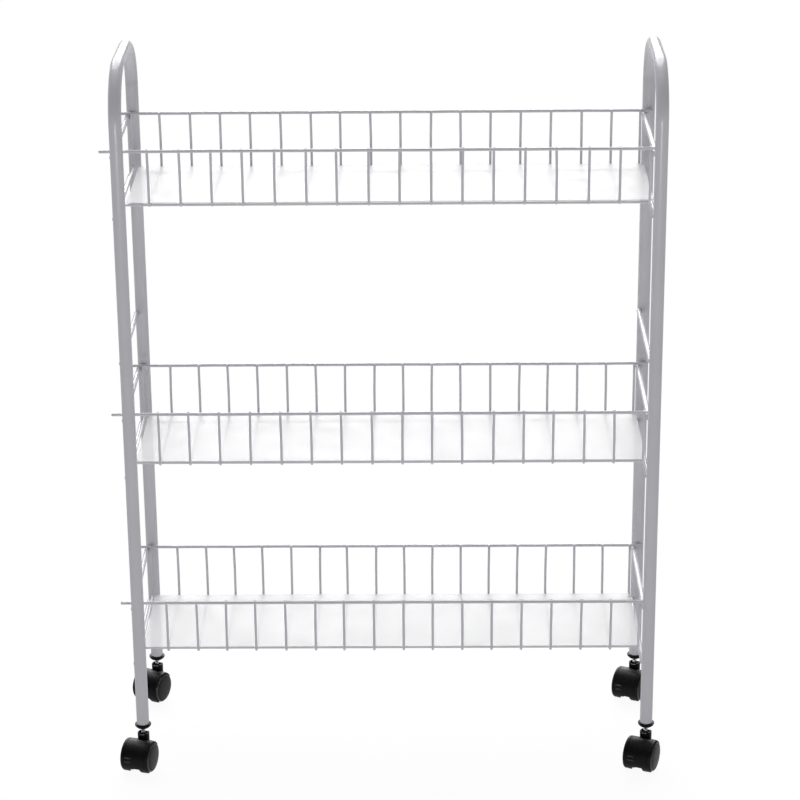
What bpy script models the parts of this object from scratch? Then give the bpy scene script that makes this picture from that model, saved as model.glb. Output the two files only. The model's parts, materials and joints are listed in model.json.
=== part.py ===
"""Slim three-tier rolling pantry cart.

Two bent-tube side frames carry three wire baskets with plastic liners, on four twin-wheel swivel casters.
X runs along the cart, Y from its front to its back, and Z up from the floor. Units are metres.
"""
import math

import bmesh
import bpy
from mathutils import Matrix, Vector

# Side frames: one bent tube each, with seven rungs welded across it.
TUBE_RADIUS = 0.00635
TUBE_WALL = 0.001
TUBE_END_HEIGHT = 0.0465
POST_SPACING = 0.157
FRAME_SPACING = 0.5160
FRAME_SHIFT = 0.0047
HANDLE_RISE = 0.0775
HANDLE_BEND = 0.050
RUNG_RADIUS = 0.0025
RUNG_OFFSET = 0.00495
RUNG_END_INSET = 0.0028
LOWER_RUNG_DROP = 0.0655
GUARD_RUNG_RISE = 0.0555

# Baskets: heights are those of the two long top rails.
BASKET_HEIGHTS = {"top": 0.6515, "middle": 0.3830, "bottom": 0.1780}
RAIL_RADIUS = 0.00155
RAIL_DEPTH = 0.139
RAIL_OVERHANG_LEFT = 0.0175
RAIL_OVERHANG_RIGHT = 0.0140
FLOOR_RAIL_RADIUS = 0.00120
FLOOR_RAIL_INSET = 0.012
WIRE_RADIUS = 0.00125
WIRE_COUNT = 18
WIRE_PITCH = 0.030
CORNER_WIRE_X = 0.2537
WIRE_TIP = 0.0018
FLOOR_DROP = 0.0555
CORNER_BEND = 0.004
WELD_DEPTH = 0.0005

# Liners: thin sheets that lie loose on the basket floors.
LINER_LENGTH = 0.506
LINER_WIDTH = 0.1252
LINER_THICKNESS = 0.001
LINER_SHIFTS = {"top": 0.005, "middle": 0.0035, "bottom": 0.002}

# Casters.
WHEEL_RADIUS = 0.0153
WHEEL_INNER_X = 0.0048
WHEEL_OUTER_X = 0.0156
WHEEL_DOME = 0.0014
TRAIL = 0.0125
TREAD_CHAMFER = 0.0012
INNER_CHAMFER = 0.0006
AXLE_RADIUS = 0.0018
AXLE_HALF_LENGTH = 0.0126
STEM_RADIUS = 0.0022
HOOD_RADIUS = 0.0170
HOOD_HALF_WIDTH = 0.0148
HOOD_CAVITY_RADIUS = 0.0158
HOOD_WEB_HALF = 0.0043
HOOD_START, HOOD_END = 30.0, 234.0
HUB_RADIUS = 0.0050
HUB_START, HUB_END = 262.0, 362.0
NECK_RADIUS = 0.0060
NECK_FOOT = 0.0193
NECK_TOP = 0.0362
CUP_WALL = 0.0014
CUP_DEPTH = 0.0025
STEM_BOTTOM = 0.0280
STEM_TOP_INSET = 0.003
STEM_CHAMFER = 0.001
GROOVE_DEPTH = 0.0006
GROOVE_TAPER = 0.0008
LOWER_GROOVE = 0.0022
UPPER_GROOVE = 0.0006
COLLAR_RISE = 0.0002
COLLAR_HEIGHT = 0.0011
COLLAR_CHAMFER = 0.0003
FLANGE_RADIUS = 0.0083
FLANGE_THICKNESS = 0.0018
FLANGE_TAPER = 0.0022
INSERT_LENGTH = 0.024
SWIVELS = {"front_left": 17.0, "front_right": 23.0, "rear_left": 26.0, "rear_right": 26.0}

GAP = 0.0003
CUT_OVERRUN = 0.010
RAIL_Y = RAIL_DEPTH / 2
WIRE_Y = RAIL_Y - (RAIL_RADIUS + WIRE_RADIUS - WELD_DEPTH)
FLOOR_RAIL_DROP = FLOOR_DROP + WIRE_RADIUS + FLOOR_RAIL_RADIUS - WELD_DEPTH
POST_Y = POST_SPACING / 2


def clear_scene():
    for obj in list(bpy.data.objects):
        bpy.data.objects.remove(obj, do_unlink=True)


def new_collection(name):
    collection = bpy.data.collections.new(name)
    bpy.context.scene.collection.children.link(collection)
    return collection


def material(name, colour, roughness, metallic=0.0):
    mat = bpy.data.materials.new(name)
    mat.use_nodes = True
    shader = mat.node_tree.nodes["Principled BSDF"]
    shader.inputs["Base Color"].default_value = (*colour, 1.0)
    shader.inputs["Roughness"].default_value = roughness
    shader.inputs["Metallic"].default_value = metallic
    return mat


clear_scene()
PARTS = new_collection("rolling_pantry_cart")
CUTTERS = new_collection("cutters")


def add_object(name, data, parent, collection=None):
    obj = bpy.data.objects.new(name, data)
    (collection or PARTS).objects.link(obj)
    obj.parent = parent
    return obj


def add_cutter(name, mesh, parent):
    cutter = add_object(name, mesh, parent, CUTTERS)
    cutter.hide_render = True
    cutter.display_type = "WIRE"
    return cutter


def add_boolean(obj, cutter, operation):
    modifier = obj.modifiers.new(operation.lower(), "BOOLEAN")
    modifier.operation = operation
    modifier.object = cutter
    modifier.solver = "EXACT"


def arc(centre, radius, start, end, steps):
    """Points of a circular arc in a plane, with its angles in degrees."""
    angles = [math.radians(start + (end - start) * i / steps) for i in range(steps + 1)]
    return [(centre[0] + radius * math.cos(a), centre[1] + radius * math.sin(a)) for a in angles]


def mesh_from_curve(curve, name, matrix=None):
    """Turn a curve into a mesh with its caps welded on, then remove the curve."""
    holder = add_object(name + "_curve", curve, None, CUTTERS)
    depsgraph = bpy.context.evaluated_depsgraph_get()
    mesh = bpy.data.meshes.new_from_object(holder.evaluated_get(depsgraph))
    mesh.name = name
    edit = bmesh.new()
    edit.from_mesh(mesh)
    bmesh.ops.remove_doubles(edit, verts=edit.verts, dist=1e-6)
    bmesh.ops.recalc_face_normals(edit, faces=edit.faces)
    edit.to_mesh(mesh)
    edit.free()
    if matrix is not None:
        mesh.transform(matrix)
    bpy.data.objects.remove(holder, do_unlink=True)
    return mesh


def rods(name, paths, radius, resolution):
    """One mesh of round rods, each along its own path of points."""
    curve = bpy.data.curves.new(name, "CURVE")
    curve.dimensions = "3D"
    curve.bevel_depth = radius
    curve.bevel_resolution = resolution
    curve.use_fill_caps = True
    for path in paths:
        spline = curve.splines.new("POLY")
        spline.points.add(len(path) - 1)
        for point, place in zip(spline.points, path):
            point.co = (*place, 1.0)
    return mesh_from_curve(curve, name)


def plate(name, outline, half_thickness):
    """A flat outline in the YZ plane, given its thickness along X."""
    curve = bpy.data.curves.new(name, "CURVE")
    curve.dimensions = "2D"
    curve.fill_mode = "BOTH"
    curve.extrude = half_thickness
    spline = curve.splines.new("POLY")
    spline.points.add(len(outline) - 1)
    for point, (y, z) in zip(spline.points, outline):
        point.co = (y, z, 0.0, 1.0)
    spline.use_cyclic_u = True
    upright = Matrix.Rotation(math.radians(90), 4, "Z") @ Matrix.Rotation(math.radians(90), 4, "X")
    return mesh_from_curve(curve, name, upright)


def cylinder(name, radius, low, high, sides=16, matrix=None):
    """A solid cylinder along Z from low to high, moved by a matrix."""
    mesh = bpy.data.meshes.new(name)
    edit = bmesh.new()
    bmesh.ops.create_cone(edit, cap_ends=True, segments=sides, radius1=radius, radius2=radius,
                          depth=high - low)
    bmesh.ops.translate(edit, verts=edit.verts, vec=(0, 0, (low + high) / 2))
    if matrix is not None:
        bmesh.ops.transform(edit, matrix=matrix, verts=edit.verts)
    edit.to_mesh(mesh)
    edit.free()
    return mesh


def turned(name, profile, steps, parent, closed):
    """A turned solid: a profile of (radius, height) points swept round Z."""
    mesh = bpy.data.meshes.new(name)
    count = len(profile)
    edges = [(i, i + 1) for i in range(count - 1)] + ([(count - 1, 0)] if closed else [])
    mesh.from_pydata([(radius, 0.0, height) for radius, height in profile], edges, [])
    obj = add_object(name, mesh, parent)
    screw = obj.modifiers.new("turn", "SCREW")
    screw.steps = steps
    screw.render_steps = steps
    screw.use_merge_vertices = True
    screw.merge_threshold = 0.00001
    screw.use_normal_calculate = True
    return obj


def finish(obj, mat):
    obj.data.materials.append(mat)
    return obj


def tube_path(handle_height):
    """Centre line of a side frame, from the foot of its front post to the foot of its rear post."""
    bend_y = POST_Y - HANDLE_BEND
    bend_z = handle_height - HANDLE_BEND
    path = [(-POST_Y, TUBE_END_HEIGHT)]
    path += arc((-bend_y, bend_z), HANDLE_BEND, 180, 90, 6)
    path += arc((bend_y, bend_z), HANDLE_BEND, 90, 0, 6)
    path.append((POST_Y, TUBE_END_HEIGHT))
    return [(0.0, y, z) for y, z in path]


def rung_heights():
    heights = []
    for rail_height in BASKET_HEIGHTS.values():
        heights.append(rail_height - RAIL_RADIUS - GAP - RUNG_RADIUS)
        heights.append(rail_height - LOWER_RUNG_DROP)
    heights.append(BASKET_HEIGHTS["middle"] + GUARD_RUNG_RISE)
    return heights


def side_frame(name, x, parent, mat):
    path = tube_path(BASKET_HEIGHTS["top"] + HANDLE_RISE)
    frame = add_object(name, rods(name, [path], TUBE_RADIUS, 4), parent)
    frame.location.x = x

    reach = POST_Y - RUNG_END_INSET
    rungs = [[(-RUNG_OFFSET, -reach, z), (-RUNG_OFFSET, reach, z)] for z in rung_heights()]
    rung_cutter = add_cutter(name + "_rungs", rods(name + "_rungs", rungs, RUNG_RADIUS, 2), frame)
    add_boolean(frame, rung_cutter, "UNION")

    foot = Vector((0.0, 0.0, -TUBE_WALL))
    bore = [tuple(Vector(path[0]) + foot)] + path[1:-1] + [tuple(Vector(path[-1]) + foot)]
    bore_mesh = rods(name + "_bore", [bore], TUBE_RADIUS - TUBE_WALL, 4)
    add_boolean(frame, add_cutter(name + "_bore", bore_mesh, frame), "DIFFERENCE")
    return finish(frame, mat)


def cross_wire_places():
    """Places along X of the cross wires: even, apart from the corner wires."""
    first = -(WIRE_COUNT - 1) / 2 * WIRE_PITCH
    places = [first + i * WIRE_PITCH for i in range(WIRE_COUNT)]
    places[0], places[-1] = -CORNER_WIRE_X, CORNER_WIRE_X
    return places


def cross_wire(x):
    """One U-shaped wire: down the front wall, across the floor and up the back wall."""
    bend_y = WIRE_Y - CORNER_BEND
    bend_z = CORNER_BEND - FLOOR_DROP
    outline = [(-WIRE_Y, WIRE_TIP)]
    outline += arc((-bend_y, bend_z), CORNER_BEND, 180, 270, 2)
    outline += arc((bend_y, bend_z), CORNER_BEND, 270, 360, 2)
    outline.append((WIRE_Y, WIRE_TIP))
    return [(x, y, z) for y, z in outline]


def basket(tier, parent, mat):
    name = tier + "_basket"
    wires = rods(name, [cross_wire(x) for x in cross_wire_places()], WIRE_RADIUS, 1)
    tray = add_object(name, wires, parent)
    tray.location.z = BASKET_HEIGHTS[tier]

    left = -CORNER_WIRE_X - RAIL_OVERHANG_LEFT
    right = CORNER_WIRE_X + RAIL_OVERHANG_RIGHT
    top_rails = [[(left, y, 0.0), (right, y, 0.0)] for y in (-RAIL_Y, RAIL_Y)]
    top_mesh = rods(name + "_top_rails", top_rails, RAIL_RADIUS, 1)
    add_boolean(tray, add_cutter(name + "_top_rails", top_mesh, tray), "UNION")

    end = CORNER_WIRE_X + WIRE_RADIUS + FLOOR_RAIL_RADIUS
    rail_y = WIRE_Y - FLOOR_RAIL_INSET
    floor_rails = [[(-end, y, -FLOOR_RAIL_DROP), (end, y, -FLOOR_RAIL_DROP)] for y in (-rail_y, rail_y)]
    floor_mesh = rods(name + "_floor_rails", floor_rails, FLOOR_RAIL_RADIUS, 1)
    add_boolean(tray, add_cutter(name + "_floor_rails", floor_mesh, tray), "UNION")
    return finish(tray, mat)


def liner(tier, parent, mat):
    mesh = bpy.data.meshes.new(tier + "_liner")
    edit = bmesh.new()
    bmesh.ops.create_cube(edit, size=1.0)
    bmesh.ops.scale(edit, verts=edit.verts, vec=(LINER_LENGTH, LINER_WIDTH, LINER_THICKNESS))
    edit.to_mesh(mesh)
    edit.free()
    sheet = add_object(tier + "_liner", mesh, parent)
    floor_top = BASKET_HEIGHTS[tier] - FLOOR_DROP + WIRE_RADIUS
    sheet.location = (LINER_SHIFTS[tier], 0.0, floor_top + GAP + LINER_THICKNESS / 2)
    return finish(sheet, mat)


def tube_insert(name, parent, mat):
    """Plug in the foot of the tube, with a tapered flange below it and a bore for the stem."""
    bore = STEM_RADIUS + GAP
    plug = TUBE_RADIUS - TUBE_WALL - GAP
    flange_low = -GAP - FLANGE_THICKNESS
    taper_low = flange_low - FLANGE_TAPER
    taper_radius = FLANGE_RADIUS - FLANGE_TAPER
    profile = [(bore, INSERT_LENGTH), (bore, taper_low), (taper_radius, taper_low)]
    profile += [(FLANGE_RADIUS, flange_low), (FLANGE_RADIUS, -GAP), (plug, -GAP), (plug, INSERT_LENGTH)]
    insert = turned(name, profile, 16, parent, closed=True)
    insert.location.z = TUBE_END_HEIGHT
    return finish(insert, mat)


def caster_stem(name, parent, mat):
    """Steel stem: gripped by the insert above, and turning in the neck of the hood below."""
    low = STEM_BOTTOM - TUBE_END_HEIGHT
    waist = STEM_RADIUS - GROOVE_DEPTH
    collar_low = NECK_TOP - TUBE_END_HEIGHT + COLLAR_RISE
    collar_high = collar_low + COLLAR_HEIGHT
    groove_low = collar_low - LOWER_GROOVE
    groove_high = collar_high + UPPER_GROOVE
    tip = INSERT_LENGTH - STEM_TOP_INSET
    profile = [(0.0, low), (STEM_RADIUS, low)]
    profile += [(STEM_RADIUS, groove_low - GROOVE_TAPER), (waist, groove_low), (waist, collar_low)]
    profile += [(STEM_RADIUS, collar_low + COLLAR_CHAMFER), (STEM_RADIUS, collar_high - COLLAR_CHAMFER)]
    profile += [(waist, collar_high), (waist, groove_high), (STEM_RADIUS, groove_high + GROOVE_TAPER)]
    profile += [(STEM_RADIUS, tip), (waist, tip + STEM_CHAMFER), (0.0, tip + STEM_CHAMFER)]
    stem = turned(name, profile, 12, parent, closed=False)
    stem.location.z = TUBE_END_HEIGHT
    return finish(stem, mat)


def hood(name, parent, mat):
    """Moulded hood: a curved cover over both wheels, a web between them and a neck for the stem."""
    axle = (-TRAIL, WHEEL_RADIUS)
    outline = arc(axle, HOOD_RADIUS, HOOD_START, HOOD_END, 16)
    outline += arc(axle, HUB_RADIUS, HUB_START, HUB_END, 4)
    body = add_object(name, plate(name, outline, HOOD_HALF_WIDTH), parent)

    neck = cylinder(name + "_neck", NECK_RADIUS, NECK_FOOT, NECK_TOP)
    add_boolean(body, add_cutter(name + "_neck", neck, body), "UNION")

    across = Matrix.Translation((0.0, -TRAIL, WHEEL_RADIUS)) @ Matrix.Rotation(math.radians(90), 4, "Y")
    beyond = HOOD_HALF_WIDTH + CUT_OVERRUN
    for side, low, high in (("right", HOOD_WEB_HALF, beyond), ("left", -beyond, -HOOD_WEB_HALF)):
        cavity_name = name + "_cavity_" + side
        cavity = cylinder(cavity_name, HOOD_CAVITY_RADIUS, low, high, 32, across)
        add_boolean(body, add_cutter(cavity_name, cavity, body), "DIFFERENCE")

    bore = cylinder(name + "_stem_bore", STEM_RADIUS + GAP, STEM_BOTTOM - GAP, NECK_TOP + CUT_OVERRUN, 12)
    add_boolean(body, add_cutter(name + "_stem_bore", bore, body), "DIFFERENCE")
    cup = cylinder(name + "_cup", NECK_RADIUS - CUP_WALL, NECK_TOP - CUP_DEPTH, NECK_TOP + CUT_OVERRUN, 12)
    add_boolean(body, add_cutter(name + "_cup", cup, body), "DIFFERENCE")
    axle_bore = cylinder(name + "_axle_bore", AXLE_RADIUS + GAP, -CUT_OVERRUN, CUT_OVERRUN, 12, across)
    add_boolean(body, add_cutter(name + "_axle_bore", axle_bore, body), "DIFFERENCE")
    return finish(body, mat)


def axle_pin(name, parent, mat):
    lying = Matrix.Rotation(math.radians(90), 4, "Y")
    pin = cylinder(name, AXLE_RADIUS, -AXLE_HALF_LENGTH, AXLE_HALF_LENGTH, 12, lying)
    return finish(add_object(name, pin, parent), mat)


def wheel(name, side, parent, mat):
    """One wheel of the pair, with a blind bore for the axle and a domed outer face."""
    bore = AXLE_RADIUS + GAP
    bore_end = AXLE_HALF_LENGTH + GAP
    profile = [(0.0, bore_end), (bore, bore_end), (bore, WHEEL_INNER_X)]
    profile += [(WHEEL_RADIUS - INNER_CHAMFER, WHEEL_INNER_X), (WHEEL_RADIUS, WHEEL_INNER_X + INNER_CHAMFER)]
    profile += [(WHEEL_RADIUS, WHEEL_OUTER_X - TREAD_CHAMFER), (WHEEL_RADIUS - TREAD_CHAMFER, WHEEL_OUTER_X)]
    profile += [(WHEEL_RADIUS * 0.55, WHEEL_OUTER_X + WHEEL_DOME * 0.75), (0.0, WHEEL_OUTER_X + WHEEL_DOME)]
    disc = turned(name, profile, 24, parent, closed=False)
    disc.rotation_euler.y = math.radians(90 * side)
    return finish(disc, mat)


def caster(corner, x, y, root, mats):
    mount = add_object(corner + "_mount_axis", None, root)
    mount.location = (x, y, 0.0)
    tube_insert(corner + "_tube_insert", mount, mats["black_plastic"])
    caster_stem(corner + "_stem", mount, mats["plated_steel"])

    swivel = add_object(corner + "_swivel_axis", None, mount)
    swivel.rotation_euler.z = math.radians(-SWIVELS[corner])
    hood(corner + "_hood", swivel, mats["black_plastic"])
    axle = add_object(corner + "_axle_axis", None, swivel)
    axle.location = (0.0, -TRAIL, WHEEL_RADIUS)
    axle_pin(corner + "_axle", axle, mats["plated_steel"])
    wheel(corner + "_left_wheel", -1, axle, mats["wheel_black"])
    wheel(corner + "_right_wheel", 1, axle, mats["wheel_black"])


def centre_on_floor(root):
    """Move the whole cart so that the middle of its underside is at the world origin."""
    depsgraph = bpy.context.evaluated_depsgraph_get()
    places = [obj.matrix_world @ vertex.co for obj in PARTS.objects if obj.type == "MESH"
              for vertex in obj.evaluated_get(depsgraph).data.vertices]
    low = [min(place[i] for place in places) for i in range(3)]
    high = [max(place[i] for place in places) for i in range(3)]
    root.location = (-(low[0] + high[0]) / 2, -(low[1] + high[1]) / 2, -low[2])


def build_cart():
    mats = {
        "white_coat": material("white_coat", (0.62, 0.61, 0.64), 0.35),
        "white_liner": material("white_liner", (0.88, 0.88, 0.89), 0.45),
        "black_plastic": material("black_plastic", (0.012, 0.012, 0.013), 0.42),
        "wheel_black": material("wheel_black", (0.022, 0.023, 0.026), 0.36),
        "plated_steel": material("plated_steel", (0.72, 0.73, 0.75), 0.22, 1.0),
    }
    root = add_object("cart_root", None, None)
    sides = {"left": FRAME_SHIFT - FRAME_SPACING / 2, "right": FRAME_SHIFT + FRAME_SPACING / 2}
    for side, x in sides.items():
        side_frame(side + "_side_frame", x, root, mats["white_coat"])
    for tier in BASKET_HEIGHTS:
        basket(tier, root, mats["white_coat"])
        liner(tier, root, mats["white_liner"])
    for end, y in (("front", -POST_Y), ("rear", POST_Y)):
        for side, x in sides.items():
            caster(end + "_" + side, x, y, root, mats)
    bpy.context.view_layer.update()
    centre_on_floor(root)


build_cart()
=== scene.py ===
import json
import math
import random

import bmesh
import bpy
from mathutils import Matrix, Vector

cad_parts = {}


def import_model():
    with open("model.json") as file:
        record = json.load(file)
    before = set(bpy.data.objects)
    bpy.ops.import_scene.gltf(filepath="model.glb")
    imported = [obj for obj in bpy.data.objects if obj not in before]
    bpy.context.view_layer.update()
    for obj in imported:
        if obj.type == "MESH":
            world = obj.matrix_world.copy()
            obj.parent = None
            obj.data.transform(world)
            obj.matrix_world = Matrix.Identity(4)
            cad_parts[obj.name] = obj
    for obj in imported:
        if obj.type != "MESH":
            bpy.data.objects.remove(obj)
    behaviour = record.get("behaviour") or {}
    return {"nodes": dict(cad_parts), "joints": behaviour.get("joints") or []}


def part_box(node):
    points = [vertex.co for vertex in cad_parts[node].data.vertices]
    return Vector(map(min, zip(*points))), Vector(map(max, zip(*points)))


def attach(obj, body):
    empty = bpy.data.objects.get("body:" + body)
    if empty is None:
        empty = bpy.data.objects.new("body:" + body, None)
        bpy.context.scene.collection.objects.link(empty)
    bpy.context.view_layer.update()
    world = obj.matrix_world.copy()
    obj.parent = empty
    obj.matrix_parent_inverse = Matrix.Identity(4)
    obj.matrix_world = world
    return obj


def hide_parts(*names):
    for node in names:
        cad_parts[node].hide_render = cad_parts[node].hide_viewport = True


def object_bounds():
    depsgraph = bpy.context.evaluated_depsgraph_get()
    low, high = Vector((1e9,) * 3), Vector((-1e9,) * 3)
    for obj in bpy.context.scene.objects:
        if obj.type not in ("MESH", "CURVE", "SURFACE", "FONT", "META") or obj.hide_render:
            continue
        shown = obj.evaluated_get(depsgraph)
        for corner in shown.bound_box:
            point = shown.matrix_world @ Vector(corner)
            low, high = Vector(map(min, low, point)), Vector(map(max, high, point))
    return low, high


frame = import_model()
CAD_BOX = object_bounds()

CORNERS = ("front_left", "front_right", "rear_left", "rear_right")
SIDES = ("left", "right")
TIERS = ("top", "middle", "bottom")

# Tubes and rungs.
TUBE_RADIUS = 0.00635
TUBE_WALL = 0.001
TUBE_SIDES = 40
FOOT_ROUNDING = 0.0003
CAVITY_DEPTH = 0.026
HANDLE_BEND = 0.050
BEND_STEPS = 28
RUNG_RADIUS = 0.0025
RUNG_OFFSET = 0.00495
RUNG_END_INSET = 0.0028
RUNG_ROUNDING = 0.0006
RUNG_WELD_INSET = 0.0052
LOWER_RUNG_DROP = 0.0655
GUARD_RUNG_RISE = 0.0555

# Basket wires. The tips' rise and the floor's drop are from the top rails.
RAIL_RADIUS = 0.00155
FLOOR_RAIL_RADIUS = 0.0012
FLOOR_RAIL_INSET = 0.012
WIRE_RADIUS = 0.00125
WIRE_COUNT = 18
WIRE_PITCH = 0.030
CORNER_WIRE_X = 0.2537
RAIL_OVERHANG_LEFT = 0.0175
WIRE_TIP = 0.0018
FLOOR_DROP = 0.0555
CORNER_BEND = 0.004
WELD_DEPTH = 0.0005
WIRE_SLIP = 0.0006
WIRE_LEAN = 0.0005
RAIL_WAVER = 0.00012

# Liners.
LINER_CORNER = 0.004
LINER_WARP = 0.0003
LINER_COLUMNS = 90
LINER_ROWS = 24
SHEET_ALPHA = 0.60

# Casters, measured from the stem's axis and the floor.
WHEEL_RADIUS = 0.0153
WHEEL_INNER_X = 0.0048
WHEEL_OUTER_X = 0.0156
WHEEL_DOME = 0.0014
WHEEL_RECESS = 0.0018
RIM_GROOVE = 0.0005
TREAD_CHAMFER = 0.0012
AXLE_RADIUS = 0.0018
AXLE_HALF_LENGTH = 0.0126
TRAIL = 0.0125
HOOD_RADIUS = 0.0170
HOOD_HALF_WIDTH = 0.0148
HOOD_INNER_RADIUS = 0.0158
HOOD_WEB_HALF = 0.0043
HOOD_START, HOOD_END = 30.0, 233.0
NOTCH_TURN = 24.0
NOTCH_HALF = 0.0062
NOTCH_EDGE = 0.0012
HUB_RADIUS = 0.0050
HUB_START, HUB_END = 262.0, 362.0
RIB_ANGLES = (166.0, 180.0)
RIB_PLACES = (-0.0102, -0.0085, -0.0050, -0.0032)
RIB_RADIUS = 0.0006
NECK_RADIUS = 0.0060
NECK_FOOT = 0.0200
NECK_TOP = 0.0362
CUP_WALL = 0.0014
CUP_DEPTH = 0.0025
LUG_RISE = 0.0012
STEM_RADIUS = 0.0022
STEM_GROOVE = 0.0006
STEM_BOTTOM = 0.0293
STEM_TOP_INSET = 0.003
FLANGE_RADIUS = 0.0083
FLANGE_THICKNESS = 0.0018
FLANGE_TAPER = 0.0022
INSERT_LENGTH = 0.024
GAP = 0.0003

random.seed(7)


# ---------------------------------------------------------------- materials

def new_material(name):
    mat = bpy.data.materials.new(name)
    mat.use_nodes = True
    tree = mat.node_tree
    return mat, tree, tree.nodes["Principled BSDF"]


def coordinates(tree):
    return tree.nodes.new("ShaderNodeTexCoord").outputs["Object"]


def noise(tree, scale, detail=3.0, roughness=0.5):
    node = tree.nodes.new("ShaderNodeTexNoise")
    tree.links.new(coordinates(tree), node.inputs["Vector"])
    node.inputs["Scale"].default_value = scale
    node.inputs["Detail"].default_value = detail
    node.inputs["Roughness"].default_value = roughness
    return node.outputs["Fac"]


def cells(tree, scale):
    node = tree.nodes.new("ShaderNodeTexVoronoi")
    tree.links.new(coordinates(tree), node.inputs["Vector"])
    node.inputs["Scale"].default_value = scale
    return node.outputs["Distance"]


def ramp(tree, factor, stops):
    node = tree.nodes.new("ShaderNodeValToRGB")
    tree.links.new(factor, node.inputs["Fac"])
    elements = node.color_ramp.elements
    elements[0].position, elements[0].color = stops[0][0], (*stops[0][1], 1.0)
    elements[1].position, elements[1].color = stops[-1][0], (*stops[-1][1], 1.0)
    for position, colour in stops[1:-1]:
        elements.new(position).color = (*colour, 1.0)
    return node.outputs["Color"]


def spread(tree, factor, low, high):
    node = tree.nodes.new("ShaderNodeMapRange")
    tree.links.new(factor, node.inputs["Value"])
    node.inputs["From Min"].default_value = 0.3
    node.inputs["From Max"].default_value = 0.7
    node.inputs["To Min"].default_value = low
    node.inputs["To Max"].default_value = high
    return node.outputs["Result"]


def bump(tree, shader, height, distance, strength=1.0, previous=None):
    node = tree.nodes.new("ShaderNodeBump")
    tree.links.new(height, node.inputs["Height"])
    node.inputs["Distance"].default_value = distance
    node.inputs["Strength"].default_value = strength
    if previous is not None:
        tree.links.new(previous, node.inputs["Normal"])
    tree.links.new(node.outputs["Normal"], shader.inputs["Normal"])
    return node.outputs["Normal"]


def powder_coat():
    """White powder coat: a faint orange peel over the steel, and slightly uneven gloss."""
    mat, tree, shader = new_material("white_powder_coat")
    patches = noise(tree, 22.0, 4.0)
    colour = ramp(tree, patches, [(0.30, (0.685, 0.675, 0.715)), (0.70, (0.715, 0.706, 0.744))])
    tree.links.new(colour, shader.inputs["Base Color"])
    tree.links.new(spread(tree, noise(tree, 160.0), 0.16, 0.24), shader.inputs["Roughness"])
    peel = bump(tree, shader, noise(tree, 420.0, 2.0), 0.00006, 0.5)
    bump(tree, shader, noise(tree, 60.0, 2.0), 0.00012, 0.35, peel)
    return mat


def liner_plastic():
    """Frosted white sheet that lets the wires under it show faintly."""
    mat, tree, shader = new_material("frosted_white_sheet")
    patches = noise(tree, 14.0, 5.0)
    colour = ramp(tree, patches, [(0.30, (0.715, 0.716, 0.722)), (0.70, (0.745, 0.746, 0.751))])
    tree.links.new(colour, shader.inputs["Base Color"])
    tree.links.new(spread(tree, noise(tree, 45.0), 0.42, 0.56), shader.inputs["Roughness"])
    shader.inputs["Alpha"].default_value = SHEET_ALPHA
    frost = bump(tree, shader, noise(tree, 1600.0, 2.0), 0.00002, 0.5)
    bump(tree, shader, noise(tree, 9.0, 2.0), 0.0012, 0.15, frost)
    return mat


def hood_plastic():
    """Black moulded plastic with a fine spark-eroded grain."""
    mat, tree, shader = new_material("black_grained_plastic")
    patches = noise(tree, 90.0, 4.0)
    colour = ramp(tree, patches, [(0.30, (0.0030, 0.0030, 0.0040)), (0.70, (0.0048, 0.0048, 0.0060))])
    tree.links.new(colour, shader.inputs["Base Color"])
    tree.links.new(spread(tree, noise(tree, 500.0), 0.36, 0.50), shader.inputs["Roughness"])
    shader.inputs["Specular IOR Level"].default_value = 0.16
    bump(tree, shader, cells(tree, 2600.0), 0.00005, 0.45)
    return mat


def wheel_plastic():
    """Dark grey nylon of the wheels, smoother than the hoods, with scuffs from the floor."""
    mat, tree, shader = new_material("dark_wheel_nylon")
    scuffs = noise(tree, 130.0, 5.0)
    colour = ramp(tree, scuffs, [(0.30, (0.0042, 0.0040, 0.0056)), (0.72, (0.0064, 0.0062, 0.0082))])
    tree.links.new(colour, shader.inputs["Base Color"])
    tree.links.new(spread(tree, noise(tree, 700.0, 4.0), 0.28, 0.44), shader.inputs["Roughness"])
    shader.inputs["Specular IOR Level"].default_value = 0.22
    bump(tree, shader, noise(tree, 1500.0, 3.0), 0.00004, 0.4)
    return mat


def plated_steel():
    """Bright zinc plating with a fine turned finish."""
    mat, tree, shader = new_material("bright_plated_steel")
    colour = ramp(tree, noise(tree, 260.0, 3.0), [(0.30, (0.70, 0.71, 0.73)), (0.70, (0.80, 0.81, 0.82))])
    tree.links.new(colour, shader.inputs["Base Color"])
    shader.inputs["Metallic"].default_value = 1.0
    tree.links.new(spread(tree, noise(tree, 900.0, 3.0), 0.14, 0.28), shader.inputs["Roughness"])
    bump(tree, shader, noise(tree, 2400.0, 2.0), 0.00002, 0.4)
    return mat


def highlight_plastic():
    """Glossier copy of the casters' black plastic, on the wheels' shoulders and the hoods' ribs; its
    lighter colour is a painted highlight.
    """
    mat, tree, shader = new_material("painted_highlight_black_plastic")
    patches = noise(tree, 300.0, 3.0)
    # Base colour several times lighter than the hoods' black: a painted highlight where these parts catch
    # the light.
    colour = ramp(tree, patches, [(0.30, (0.020, 0.020, 0.023)), (0.70, (0.030, 0.030, 0.034))])
    tree.links.new(colour, shader.inputs["Base Color"])
    tree.links.new(spread(tree, noise(tree, 800.0, 3.0), 0.16, 0.28), shader.inputs["Roughness"])
    shader.inputs["Specular IOR Level"].default_value = 0.70
    bump(tree, shader, noise(tree, 1800.0, 2.0), 0.00002, 0.3)
    return mat


def camera_split(tree, lighting, seen, output):
    """Let one shader light the cart, and show the camera another."""
    mix = tree.nodes.new("ShaderNodeMixShader")
    tree.links.new(tree.nodes.new("ShaderNodeLightPath").outputs["Is Camera Ray"], mix.inputs["Fac"])
    tree.links.new(lighting, mix.inputs[1])
    tree.links.new(seen, mix.inputs[2])
    tree.links.new(mix.outputs["Shader"], output.inputs["Surface"])


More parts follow.
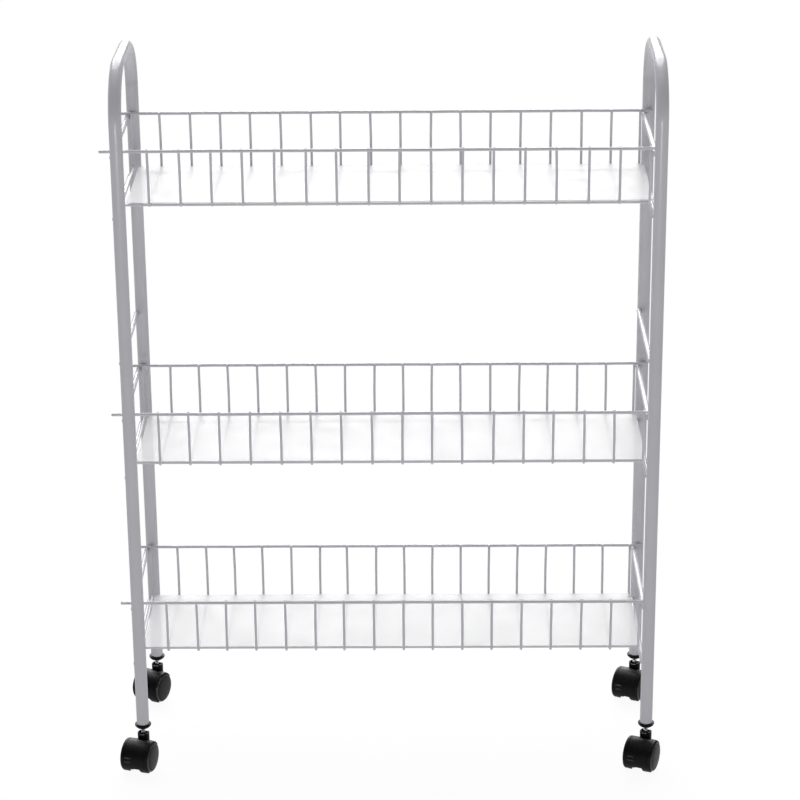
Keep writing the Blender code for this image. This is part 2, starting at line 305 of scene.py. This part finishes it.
def floor_paint():
    """Pale matt floor, which looks whiter to the camera than it lights the cart."""
    mat, tree, seen = new_material("pale_floor")
    lighting = tree.nodes.new("ShaderNodeBsdfPrincipled")
    patches = noise(tree, 3.0, 3.0)
    colour = ramp(tree, patches, [(0.30, (0.058, 0.058, 0.059)), (0.70, (0.062, 0.062, 0.063))])
    roughness = spread(tree, noise(tree, 30.0), 0.68, 0.76)
    for shader, strength in ((lighting, 0.62), (seen, 0.97)):
        tree.links.new(colour, shader.inputs["Base Color"])
        tree.links.new(roughness, shader.inputs["Roughness"])
        shader.inputs["Specular IOR Level"].default_value = 0.0
        shader.inputs["Emission Color"].default_value = (0.97, 0.97, 0.975, 1.0)
        shader.inputs["Emission Strength"].default_value = strength
    camera_split(tree, lighting.outputs["BSDF"], seen.outputs["BSDF"], tree.nodes["Material Output"])
    return mat


COAT = powder_coat()
SHEET = liner_plastic()
BLACK = hood_plastic()
WHEEL = wheel_plastic()
STEEL = plated_steel()
HIGHLIGHT_PLASTIC = highlight_plastic()


# ---------------------------------------------------------------- mesh building

def new_piece(name, edit, mat, body, nodes, sharp=35.0, matrix=None):
    """Turn an edit mesh into a smooth shaded piece that stands for some CAD nodes."""
    bmesh.ops.recalc_face_normals(edit, faces=edit.faces)
    mesh = bpy.data.meshes.new(name)
    edit.to_mesh(mesh)
    edit.free()
    if matrix is not None:
        mesh.transform(matrix)
    mesh.polygons.foreach_set("use_smooth", [True] * len(mesh.polygons))
    mesh.set_sharp_from_angle(angle=math.radians(sharp))
    mesh.materials.append(mat)
    obj = bpy.data.objects.new(name, mesh)
    bpy.context.scene.collection.objects.link(obj)
    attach(obj, body)
    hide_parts(*nodes)
    return obj


def stitch(edit, first, second):
    """Faces between two rings of as many vertices."""
    count = len(first)
    for i in range(count):
        j = (i + 1) % count
        edit.faces.new((first[i], first[j], second[j], second[i]))


def sweep(edit, stations, sides):
    """A round skin through stations of (centre, direction, radius), closed at both ends."""
    direction = stations[0][1].normalized()
    across = direction.orthogonal().normalized()
    rings = []
    for centre, heading, radius in stations:
        heading = heading.normalized()
        across = (across - across.dot(heading) * heading).normalized()
        up = heading.cross(across)
        ring = []
        for i in range(sides):
            angle = 2 * math.pi * i / sides
            ring.append(edit.verts.new(centre + radius * (math.cos(angle) * across + math.sin(angle) * up)))
        rings.append(ring)
    for first, second in zip(rings, rings[1:]):
        stitch(edit, first, second)
    edit.faces.new(rings[0])
    edit.faces.new(rings[-1])


def headings(points):
    """Unit direction of a path at each of its points."""
    last = len(points) - 1
    return [(points[min(i + 1, last)] - points[max(i - 1, 0)]).normalized() for i in range(last + 1)]


def rod(edit, points, radius, sides, rounding=None):
    """A round rod along a path, with its two ends rounded over."""
    rounding = radius if rounding is None else rounding
    directions = headings(points)
    steps = 4
    start, end = [], []
    for i in range(steps + 1):
        turn = math.pi / 2 * i / steps
        inset = rounding * (1 - math.cos(turn))
        ring_radius = max(radius - rounding * (1 - math.sin(turn)), radius * 0.06)
        start.append((points[0] + directions[0] * inset, directions[0], ring_radius))
        end.append((points[-1] - directions[-1] * inset, directions[-1], ring_radius))
    middle = [(p, d, radius) for p, d in zip(points[1:-1], directions[1:-1])]
    sweep(edit, start + middle + end[::-1], sides)


def arc_points(centre, radius, start, end, steps):
    angles = [math.radians(start + (end - start) * i / steps) for i in range(steps + 1)]
    return [(centre[0] + radius * math.cos(a), centre[1] + radius * math.sin(a)) for a in angles]


def wobble(amount):
    """A random slip either way."""
    return random.uniform(-amount, amount)


def blob(edit, centre, radii, turn=0.0):
    """A small rounded lump of weld."""
    matrix = Matrix.Translation(centre) @ Matrix.Rotation(turn, 4, "Z") @ Matrix.Diagonal((*radii, 1.0))
    bmesh.ops.create_uvsphere(edit, u_segments=12, v_segments=8, radius=1.0, matrix=matrix)


def revolve(edit, profile, steps, matrix=None):
    """A skin of revolution round Z through points of (radius, height)."""
    rings = []
    for radius, height in profile:
        if radius < 1e-7:
            rings.append([edit.verts.new((0.0, 0.0, height))])
            continue
        turns = [2 * math.pi * i / steps for i in range(steps)]
        rings.append([edit.verts.new((radius * math.cos(a), radius * math.sin(a), height)) for a in turns])
    for first, second in zip(rings, rings[1:]):
        if len(first) == 1 or len(second) == 1:
            tip, ring = (first[0], second) if len(first) == 1 else (second[0], first)
            for i in range(steps):
                edit.faces.new((tip, ring[i], ring[(i + 1) % steps]))
        else:
            stitch(edit, first, second)
    if len(rings[0]) > 1 and len(rings[-1]) > 1:
        stitch(edit, rings[-1], rings[0])
    if matrix is not None:
        bmesh.ops.transform(edit, matrix=matrix, verts=[v for ring in rings for v in ring])


def rounded(profile, radii, steps=4):
    """Round the corners of a profile: radii holds one radius for each of its points."""
    result = []
    last = len(profile) - 1
    for i, (point, radius) in enumerate(zip(profile, radii)):
        if radius == 0 or i in (0, last):
            result.append(point)
            continue
        here, before, after = Vector(point), Vector(profile[i - 1]), Vector(profile[i + 1])
        reach_in = min(radius, (before - here).length * 0.45)
        reach_out = min(radius, (after - here).length * 0.45)
        start = here + (before - here).normalized() * reach_in
        end = here + (after - here).normalized() * reach_out
        for k in range(steps + 1):
            t = k / steps
            result.append(tuple(start * (1 - t) ** 2 + here * 2 * t * (1 - t) + end * t ** 2))
    return result


# ---------------------------------------------------------------- side frames

def post_places():
    """The axis of each post, from the stems of the frame's casters."""
    places = {}
    for corner in CORNERS:
        low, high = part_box(corner + "_stem")
        places[corner] = Vector(((low.x + high.x) / 2, (low.y + high.y) / 2, 0.0))
    return places


POSTS = post_places()
RAIL_HEIGHTS = {tier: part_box(tier + "_basket")[1].z - WIRE_TIP for tier in TIERS}


def foot(place, height, opening_first):
    """Stations of the open foot of a tube, from inside it, round its lip and up its outside."""
    up = Vector((0.0, 0.0, 1.0))
    inner = TUBE_RADIUS - TUBE_WALL
    steps = [(CAVITY_DEPTH, inner), (FOOT_ROUNDING, inner), (0.0, inner + FOOT_ROUNDING),
             (0.0, TUBE_RADIUS - FOOT_ROUNDING), (FOOT_ROUNDING, TUBE_RADIUS)]
    direction = up if opening_first else -up
    stations = [(place + up * (height + rise), direction, radius) for rise, radius in steps]
    return stations if opening_first else stations[::-1]


def side_frame(side):
    """The bent tube with its open feet, and the rungs welded across it."""
    name = side + "_side_frame"
    low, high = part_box(name)
    front, rear = POSTS["front_" + side], POSTS["rear_" + side]
    top = high.z - TUBE_RADIUS
    reach = (rear.y - front.y) / 2
    middle = Vector((front.x, (front.y + rear.y) / 2, 0.0))
    bend_z = top - HANDLE_BEND
    path = arc_points((-reach + HANDLE_BEND, bend_z), HANDLE_BEND, 180, 90, BEND_STEPS)
    path += arc_points((reach - HANDLE_BEND, bend_z), HANDLE_BEND, 90, 0, BEND_STEPS)
    points = [middle + Vector((0.0, y, z)) for y, z in path]
    bend = [(p, d, TUBE_RADIUS) for p, d in zip(points, headings(points))]
    bend[0] = (points[0], Vector((0, 0, 1)), TUBE_RADIUS)
    bend[-1] = (points[-1], Vector((0, 0, -1)), TUBE_RADIUS)

    edit = bmesh.new()
    sweep(edit, foot(front, low.z, True) + bend + foot(rear, low.z, False), TUBE_SIDES)

    heights = [RAIL_HEIGHTS[tier] - RAIL_RADIUS - GAP - RUNG_RADIUS for tier in TIERS]
    heights += [RAIL_HEIGHTS[tier] - LOWER_RUNG_DROP for tier in TIERS]
    heights.append(RAIL_HEIGHTS["middle"] + GUARD_RUNG_RISE)
    half = reach - RUNG_END_INSET
    for height in heights:
        centre = middle + Vector((-RUNG_OFFSET, 0.0, height))
        ends = [centre + Vector((0.0, y, 0.0)) for y in (-half, -half / 3, half / 3, half)]
        rod(edit, ends, RUNG_RADIUS, 20, RUNG_ROUNDING)
        for end in (-1, 1):
            weld(edit, centre + Vector((0.0, end * (reach - RUNG_WELD_INSET), 0.0)))
    piece_name = side + "_frame_coated"
    return new_piece(piece_name, edit, COAT, "cart_frame", [name])


def weld(edit, centre):
    """Weld bead round a rung, where it meets the post."""
    for i in range(7):
        turn = math.radians(-90 + 30 * i + wobble(6))
        along = wobble(0.0003)
        place = centre + Vector((0.0016 * math.cos(turn) + 0.0012, along, 0.0021 * math.sin(turn)))
        blob(edit, place, (0.0008, 0.0013 + wobble(0.0002), 0.0008))


# ---------------------------------------------------------------- baskets

def basket(tier):
    """Cross wires bent up at both ends, with the rails along their tips and under their floors."""
    name = tier + "_basket"
    low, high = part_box(name)
    rail_z = RAIL_HEIGHTS[tier]
    middle_y = (low.y + high.y) / 2
    rail_y = (high.y - low.y) / 2 - RAIL_RADIUS
    wire_y = rail_y - (RAIL_RADIUS + WIRE_RADIUS - WELD_DEPTH)
    first_x = -(WIRE_COUNT - 1) / 2 * WIRE_PITCH
    places = [first_x + i * WIRE_PITCH + wobble(WIRE_SLIP) for i in range(WIRE_COUNT)]
    places[0], places[-1] = -CORNER_WIRE_X, CORNER_WIRE_X
    centre_x = low.x + RAIL_OVERHANG_LEFT + CORNER_WIRE_X
    edit = bmesh.new()

    for index, x in enumerate(places):
        lean = 0.0 if index in (0, WIRE_COUNT - 1) else WIRE_LEAN
        lean_front, lean_rear = wobble(lean), wobble(lean)
        bend_y = wire_y - CORNER_BEND
        bend_z = CORNER_BEND - FLOOR_DROP
        path = [(-wire_y, WIRE_TIP, lean_front), (-wire_y, 0.0, lean_front), (-wire_y, bend_z * 0.5, 0.0)]
        path += [(y, z, 0.0) for y, z in arc_points((-bend_y, bend_z), CORNER_BEND, 180, 270, 8)]
        path += [(y, z, 0.0) for y, z in arc_points((bend_y, bend_z), CORNER_BEND, 270, 360, 8)]
        path += [(wire_y, bend_z * 0.5, 0.0), (wire_y, 0.0, lean_rear), (wire_y, WIRE_TIP, lean_rear)]
        points = [Vector((centre_x + x + lean, middle_y + y, rail_z + z)) for y, z, lean in path]
        rod(edit, points, WIRE_RADIUS, 14, 0.0009)
        for side, lean in ((-1, lean_front), (1, lean_rear)):
            contact = Vector((centre_x + x + lean, middle_y + side * (wire_y + WIRE_RADIUS), rail_z))
            blob(edit, contact, (0.0016, 0.0008, 0.0014), wobble(0.2))

    for side in (-1, 1):
        stretch = [low.x + (high.x - low.x) * i / 24 for i in range(25)]
        rail = []
        for i, x in enumerate(stretch):
            lift = 0.0 if i in (0, 24) else wobble(RAIL_WAVER)
            rail.append(Vector((x, middle_y + side * rail_y, rail_z + lift)))
        rod(edit, rail, RAIL_RADIUS, 18, 0.0005)

    floor_y = wire_y - FLOOR_RAIL_INSET
    floor_z = rail_z - FLOOR_DROP - WIRE_RADIUS - FLOOR_RAIL_RADIUS + WELD_DEPTH
    end_x = CORNER_WIRE_X + WIRE_RADIUS + FLOOR_RAIL_RADIUS
    for side in (-1, 1):
        y = middle_y + side * floor_y
        stretch = [centre_x - end_x + 2 * end_x * i / 16 for i in range(17)]
        rod(edit, [Vector((x, y, floor_z)) for x in stretch], FLOOR_RAIL_RADIUS, 14, 0.0004)
        for x in places:
            contact = Vector((centre_x + x, y, floor_z + FLOOR_RAIL_RADIUS))
            blob(edit, contact, (0.0015, 0.0014, 0.0006))
    return new_piece(tier + "_basket_coated", edit, COAT, "cart_frame", [name])


# ---------------------------------------------------------------- liners

def liner(tier):
    """A slightly wavy sheet with rounded corners."""
    name = tier + "_liner"
    low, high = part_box(name)
    centre = (low + high) / 2
    half_x, half_y = (high.x - low.x) / 2, (high.y - low.y) / 2

    def lines(half, count):
        """Places of the grid's lines across the sheet, closer together over its rounded corners."""
        corner = [half - LINER_CORNER * (1 - k / 4) for k in range(5)]
        inner = [(half - LINER_CORNER) * (2 * k / count - 1) for k in range(1, count)]
        return [-v for v in corner[::-1]] + inner + corner

    columns, rows = lines(half_x, LINER_COLUMNS), lines(half_y, LINER_ROWS)
    phase = random.uniform(0, 6.28)
    edit = bmesh.new()
    grid = []
    straight_x, straight_y = half_x - LINER_CORNER, half_y - LINER_CORNER
    for x in columns:
        strip = []
        for y in rows:
            u = max(0.0, abs(x) - straight_x) / LINER_CORNER
            v = max(0.0, abs(y) - straight_y) / LINER_CORNER
            reach_x = min(abs(x), straight_x) + u * math.sqrt(1 - v * v / 2) * LINER_CORNER
            reach_y = min(abs(y), straight_y) + v * math.sqrt(1 - u * u / 2) * LINER_CORNER
            place_x, place_y = math.copysign(reach_x, x), math.copysign(reach_y, y)
            long_wave = math.sin(place_x * 21 + phase)
            cross_wave = math.sin(place_x * 9 + place_y * 34 + phase * 2)
            wave = 0.5 + 0.25 * long_wave + 0.25 * cross_wave
            strip.append(edit.verts.new((place_x, place_y, LINER_WARP * wave)))
        grid.append(strip)
    for first, second in zip(grid, grid[1:]):
        for i in range(len(rows) - 1):
            edit.faces.new((first[i], second[i], second[i + 1], first[i + 1]))
    thickness = high.z - low.z
    place = Matrix.Translation((centre.x, centre.y, low.z + thickness / 2))
    sheet = new_piece(tier + "_liner_sheet", edit, SHEET, "cart_frame", [name], 60.0, place)
    solid = sheet.modifiers.new("thickness", "SOLIDIFY")
    solid.thickness = thickness
    solid.offset = 0.0
    bevel = sheet.modifiers.new("edge", "BEVEL")
    bevel.width = thickness * 0.35
    bevel.segments = 3
    bevel.limit_method = "ANGLE"
    bevel.angle_limit = math.radians(50)
    return sheet


# ---------------------------------------------------------------- casters

def axle_direction(corner):
    joint = next(j for j in frame["joints"] if j["name"] == corner + "_right_wheel_spin")
    return Vector(joint["axis"]).normalized()


def caster_matrix(corner):
    """From a caster's own frame, with its stem on Z and trailing along -Y, to the cart's."""
    across = axle_direction(corner)
    across = across if across.x > 0 else -across
    return Matrix.Translation(POSTS[corner]) @ Matrix.Rotation(math.atan2(across.y, across.x), 4, "Z")


def tube_insert(corner, matrix):
    """Plug in the tube's foot, with a tapered flange below it."""
    low_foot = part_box("left_side_frame")[0].z
    bore = STEM_RADIUS + GAP
    plug = TUBE_RADIUS - TUBE_WALL - GAP
    flange_low = -GAP - FLANGE_THICKNESS
    taper_low = flange_low - FLANGE_TAPER
    profile = [(bore, INSERT_LENGTH), (bore, taper_low), (FLANGE_RADIUS - FLANGE_TAPER, taper_low),
               (FLANGE_RADIUS, flange_low), (FLANGE_RADIUS, -GAP), (plug, -GAP), (plug, INSERT_LENGTH),
               (bore, INSERT_LENGTH)]
    profile = rounded(profile, [0, 0.0004, 0.0006, 0.0010, 0.0006, 0, 0.0005, 0])
    edit = bmesh.new()
    revolve(edit, profile[:-1], 48, Matrix.Translation((0, 0, low_foot)))
    nodes = [corner + "_tube_insert"]
    name = corner + "_insert_moulded"
    return new_piece(name, edit, BLACK, "cart_frame", nodes, matrix=matrix)


def caster_stem(corner, matrix):
    """Plated pin, grooved where it shows between the cup and the insert."""
    low_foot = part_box("left_side_frame")[0].z
    waist = STEM_RADIUS - STEM_GROOVE
    collar = NECK_TOP + 0.0002
    tip = low_foot + INSERT_LENGTH - STEM_TOP_INSET
    profile = [(0.0, STEM_BOTTOM), (STEM_RADIUS, STEM_BOTTOM)]
    profile += [(STEM_RADIUS, collar - 0.003), (waist, collar - 0.0022), (waist, collar)]
    profile += [(STEM_RADIUS, collar + 0.0003), (STEM_RADIUS, collar + 0.0008)]
    profile += [(waist, collar + 0.0011), (waist, collar + 0.0017), (STEM_RADIUS, collar + 0.0025)]
    profile += [(STEM_RADIUS, tip), (waist, tip + 0.001), (0.0, tip + 0.001)]
    profile = rounded(profile, [0] + [0.0003] * 11 + [0])
    edit = bmesh.new()
    revolve(edit, profile, 48)
    nodes = [corner + "_stem"]
    name = corner + "_stem_plated"
    return new_piece(name, edit, STEEL, "cart_frame", nodes, matrix=matrix)


def hood_end(x):
    """Angle at which the cover ends low on the front: notched in the middle, between the wheels."""
    rise = min(max((NOTCH_HALF - abs(x)) / NOTCH_EDGE, 0.0), 1.0)
    return HOOD_END - NOTCH_TURN * rise * rise * (3 - 2 * rise)


def hood_shell(edit):
    """The curved cover: a cross-section with grooves beside its rounded rims, swept round the axle."""
    edge, top = HOOD_HALF_WIDTH, HOOD_RADIUS
    half = [(x, top) for x in (0.0, 0.0024, 0.0044, 0.0050, 0.0053, 0.0056, 0.0059, 0.0062, 0.0085)]
    half += [(0.0106, top - 0.00006), (0.0109, top - 0.00036), (0.0113, top - 0.00036)]
    half += [(0.0116, top - 0.00008), (0.0128, top - 0.00012), (0.0138, top - 0.00030)]
    half += [(0.0144, top - 0.00064), (edge, HOOD_INNER_RADIUS + 0.0001)]
    outside = [(-x, radius) for x, radius in half[:0:-1]] + half
    steps = 56
    strips = []
    for k in range(steps + 1):
        upper, lower = [], []
        for x, radius in outside:
            angle = math.radians(HOOD_START + (hood_end(x) - HOOD_START) * k / steps)
            across, rise = math.cos(angle), math.sin(angle)
            upper.append(edit.verts.new((x, -TRAIL + radius * across, WHEEL_RADIUS + radius * rise)))
            inner = HOOD_INNER_RADIUS
            lower.append(edit.verts.new((x * 0.99, -TRAIL + inner * across, WHEEL_RADIUS + inner * rise)))
        strips.append((upper, lower))
    for first, second in zip(strips, strips[1:]):
        stitch(edit, first[0] + first[1][::-1], second[0] + second[1][::-1])
    for upper, lower in (strips[0], strips[-1]):
        for i in range(len(upper) - 1):
            edit.faces.new((upper[i], upper[i + 1], lower[i + 1], lower[i]))


def hood_web(edit):
    """The plate between the wheels, from the shell to the hub round the axle."""
    shell = (HOOD_RADIUS + HOOD_INNER_RADIUS) / 2
    outline = arc_points((-TRAIL, WHEEL_RADIUS), shell, HOOD_START + 1, HOOD_END - NOTCH_TURN, 48)
    outline += arc_points((-TRAIL, WHEEL_RADIUS), HUB_RADIUS, HUB_START, HUB_END, 16)
    faces = []
    for x in (-HOOD_WEB_HALF, HOOD_WEB_HALF):
        faces.append([edit.verts.new((x, y, z)) for y, z in outline])
    stitch(edit, faces[0], faces[1])
    edit.faces.new(faces[0])
    edit.faces.new(faces[1])


def wheel_clearance(y):
    """Height above which the neck is clear of the wheels, at a place along the trail."""
    rise = max(HOOD_INNER_RADIUS ** 2 - (y + TRAIL) ** 2, 0.0)
    return max(WHEEL_RADIUS + math.sqrt(rise), NECK_FOOT + 0.0003)


def hood_neck(edit):
    """The cup round the stem, with a lug on each side of it, and cut away low down beside the wheels."""
    cup = NECK_RADIUS - CUP_WALL
    cup_floor = NECK_TOP - CUP_DEPTH
    bore = STEM_RADIUS + GAP
    steps = 64
    turns = [2 * math.pi * i / steps for i in range(steps)]
    circle = [(NECK_RADIUS * math.cos(turn), NECK_RADIUS * math.sin(turn)) for turn in turns]
    narrow = [(max(-HOOD_WEB_HALF, min(x, HOOD_WEB_HALF)), y) for x, y in circle]
    rings = [
        [edit.verts.new((bore * math.cos(turn), bore * math.sin(turn), NECK_FOOT)) for turn in turns],
        [edit.verts.new((x, y, NECK_FOOT)) for x, y in narrow],
        [edit.verts.new((x, y, wheel_clearance(y))) for x, y in narrow],
        [edit.verts.new((x, y, wheel_clearance(y) + 0.0001)) for x, y in circle],
    ]
    profile = [(NECK_RADIUS, NECK_FOOT), (NECK_RADIUS, NECK_TOP), (cup, NECK_TOP)]
    profile += [(cup, cup_floor), (bore, cup_floor)]
    for radius, height in rounded(profile, [0, 0.0005, 0.0004, 0.0003, 0])[1:]:
        ring = []
        for turn in turns:
            lug = max(0.0, abs(math.cos(turn)) - 0.62) / 0.38
            lug = 1.0 if lug > 0.25 else lug * 4
            dip = LUG_RISE * (1 - lug) if height > NECK_TOP - LUG_RISE else 0.0
            ring.append(edit.verts.new((radius * math.cos(turn), radius * math.sin(turn), height - dip)))
        rings.append(ring)
    for first, second in zip(rings, rings[1:] + rings[:1]):
        stitch(edit, first, second)


def hood_ribs(edit):
    """Two short ribs moulded low on the front of the shell, in the glossy plastic with a painted highlight.
    """
    shell_faces = set(edit.faces)
    for angle in RIB_ANGLES:
        a = math.radians(angle)
        out = Vector((0.0, math.cos(a), math.sin(a)))
        centre = Vector((0.0, -TRAIL, WHEEL_RADIUS)) + out * (HOOD_RADIUS - 0.0002)
        points = [centre + Vector((x, 0.0, 0.0)) for x in RIB_PLACES]
        rod(edit, points, RIB_RADIUS, 12)
    # The ribs take the second material, whose lighter colour is a painted highlight.
    for face in edit.faces:
        if face not in shell_faces:
            face.material_index = 1


def hood(corner, matrix):
    """The cover over the wheels, with the neck that turns on the stem."""
    edit = bmesh.new()
    hood_shell(edit)
    hood_web(edit)
    hood_neck(edit)
    hood_ribs(edit)
    nodes = [corner + "_hood"]
    body = corner + "_caster"
    piece = new_piece(corner + "_hood_moulded", edit, BLACK, body, nodes, matrix=matrix)
    # Second material: the glossy plastic whose lighter colour is a painted highlight, for the ribs.
    piece.data.materials.append(HIGHLIGHT_PLASTIC)
    return piece


def wheel(corner, side, sign, matrix):
    """A wheel with a chamfered tread, a rim, a groove and a domed centre disc."""
    bore = AXLE_RADIUS + GAP
    bore_end = AXLE_HALF_LENGTH + GAP
    edge = WHEEL_OUTER_X
    dome = WHEEL_DOME
    radius = WHEEL_RADIUS
    # Distance out from the axle, distance along it, and how much the corner is rounded.
    corners = [
        (0.0, bore_end, 0),
        (bore, bore_end, 0),
        (bore, WHEEL_INNER_X, 0),
        (0.0042, WHEEL_INNER_X, 0.0004),
        (0.0047, WHEEL_INNER_X + WHEEL_RECESS, 0.0006),
        (radius - 0.0029, WHEEL_INNER_X + WHEEL_RECESS, 0.0006),
        (radius - 0.0024, WHEEL_INNER_X, 0.0004),
        (radius, WHEEL_INNER_X, 0.0006),
        (radius, edge - TREAD_CHAMFER, 0.0005),
        (radius - TREAD_CHAMFER, edge, 0.0005),
        (radius * 0.885, edge, 0.0001),
        (radius * 0.870, edge - RIM_GROOVE, 0.0002),
        (radius * 0.850, edge - RIM_GROOVE, 0.0002),
        (radius * 0.835, edge + dome * 0.22, 0.0003),
    ]
    profile = [(out, along) for out, along, rounding in corners]
    radii = [rounding for out, along, rounding in corners]
    start = radius * 0.80
    domed = []
    for k in range(13):
        r = start * (1 - k / 12)
        domed.append((r, edge + dome * (0.30 + 0.70 * math.sqrt(max(0.0, 1 - (r / start) ** 2)) ** 1.4)))
    profile = rounded(profile, radii) + domed
    edit = bmesh.new()
    lying = Matrix.Rotation(math.radians(90 * sign), 4, "Y")
    lying = Matrix.Translation((0.0, -TRAIL, WHEEL_RADIUS)) @ lying
    revolve(edit, profile, 72, lying)
    # Faces on the tread's outer shoulder take the second material: a painted highlight where the shoulder
    # catches the light.
    for face in edit.faces:
        centre = face.calc_center_median()
        out = math.hypot(centre.y + TRAIL, centre.z - WHEEL_RADIUS)
        if abs(centre.x) > edge - 0.0015 and out > radius * 0.89:
            face.material_index = 1
    name = corner + "_" + side + "_wheel"
    piece = new_piece(name + "_moulded", edit, WHEEL, name, [name], matrix=matrix)
    # Second material: the glossy plastic whose lighter colour is a painted highlight, for the shoulder.
    piece.data.materials.append(HIGHLIGHT_PLASTIC)
    return piece


def caster(corner):
    """The pieces of one caster; its axle pin keeps the frame's own shape."""
    matrix = caster_matrix(corner)
    tube_insert(corner, matrix)
    caster_stem(corner, matrix)
    hood(corner, matrix)
    for side, sign in zip(SIDES, (-1, 1)):
        wheel(corner, side, sign, matrix)
    axle = frame["nodes"][corner + "_axle"]
    axle.data.materials.clear()
    axle.data.materials.append(STEEL)


# ---------------------------------------------------------------- studio

def floor():
    edit = bmesh.new()
    bmesh.ops.create_grid(edit, x_segments=8, y_segments=8, size=40.0)
    mesh = bpy.data.meshes.new("studio_floor")
    edit.to_mesh(mesh)
    edit.free()
    mesh.materials.append(floor_paint())
    obj = bpy.data.objects.new("studio_floor", mesh)
    obj.location.z = CAD_BOX[0].z - 0.0002
    bpy.context.scene.collection.objects.link(obj)


def sun(name, direction, strength, spread_degrees):
    lamp = bpy.data.lights.new(name, "SUN")
    lamp.energy = strength
    lamp.angle = math.radians(spread_degrees)
    obj = bpy.data.objects.new(name, lamp)
    obj.rotation_mode = "QUATERNION"
    obj.rotation_quaternion = Vector(direction).to_track_quat("-Z", "Y")
    bpy.context.scene.collection.objects.link(obj)


def softbox(name, place, target, size, power):
    lamp = bpy.data.lights.new(name, "AREA")
    lamp.shape = "RECTANGLE"
    lamp.size, lamp.size_y = size
    lamp.energy = power
    obj = bpy.data.objects.new(name, lamp)
    obj.location = place
    obj.rotation_mode = "QUATERNION"
    obj.rotation_quaternion = (Vector(target) - Vector(place)).to_track_quat("-Z", "Y")
    obj.visible_camera = False
    bpy.context.scene.collection.objects.link(obj)


def world():
    """Dim grey surroundings that light the cart, seen as white by the camera."""
    sky = bpy.data.worlds.new("studio_world")
    sky.use_nodes = True
    tree = sky.node_tree
    lighting = tree.nodes["Background"]
    lighting.inputs["Color"].default_value = (0.96, 0.96, 1.0, 1.0)
    lighting.inputs["Strength"].default_value = 0.15
    seen = tree.nodes.new("ShaderNodeBackground")
    seen.inputs["Color"].default_value = (0.97, 0.97, 0.975, 1.0)
    seen.inputs["Strength"].default_value = 1.0
    output = tree.nodes["World Output"]
    camera_split(tree, lighting.outputs["Background"], seen.outputs["Background"], output)
    bpy.context.scene.world = sky


def camera():
    """A long lens in front of the cart, looking down on it."""
    pitch, yaw, roll = 0.36470, -0.01823, -0.01130
    data = bpy.data.cameras.new("photo_camera")
    data.sensor_width = 36.0
    data.lens = 122.085
    data.shift_x, data.shift_y = 0.02379, -0.00951
    data.clip_start, data.clip_end = 0.05, 200.0
    forward = Vector((math.sin(yaw) * math.cos(pitch), math.cos(yaw) * math.cos(pitch), -math.sin(pitch)))
    right = Vector((math.cos(yaw), -math.sin(yaw), 0.0))
    up = right.cross(forward)
    tilted_right = math.cos(roll) * right + math.sin(roll) * up
    tilted_up = -math.sin(roll) * right + math.cos(roll) * up
    turn = Matrix((tilted_right, tilted_up, -forward)).transposed()
    obj = bpy.data.objects.new("photo_camera", data)
    obj.rotation_mode = "QUATERNION"
    obj.rotation_quaternion = turn.to_quaternion()
    obj.location = (0.04114, -2.54542, 1.35524)
    bpy.context.scene.collection.objects.link(obj)
    bpy.context.scene.camera = obj


for cart_side in SIDES:
    side_frame(cart_side)
for cart_tier in TIERS:
    basket(cart_tier)
    liner(cart_tier)
for cart_corner in CORNERS:
    caster(cart_corner)
floor()
world()
sun("rear_key", (0.10, -0.95, -0.80), 3.9, 64.0)
sun("overhead_fill", (0.0, 0.0, -1.0), 0.45, 60.0)
sun("low_backdrop", (0.0, -0.97, -0.24), 0.36, 24.0)
softbox("front_accent", (-0.02, -2.1, 0.22), (0.0, 0.0, 0.60), (1.0, 0.06), 4.5)
camera()
bpy.context.scene.view_settings.view_transform = "Standard"
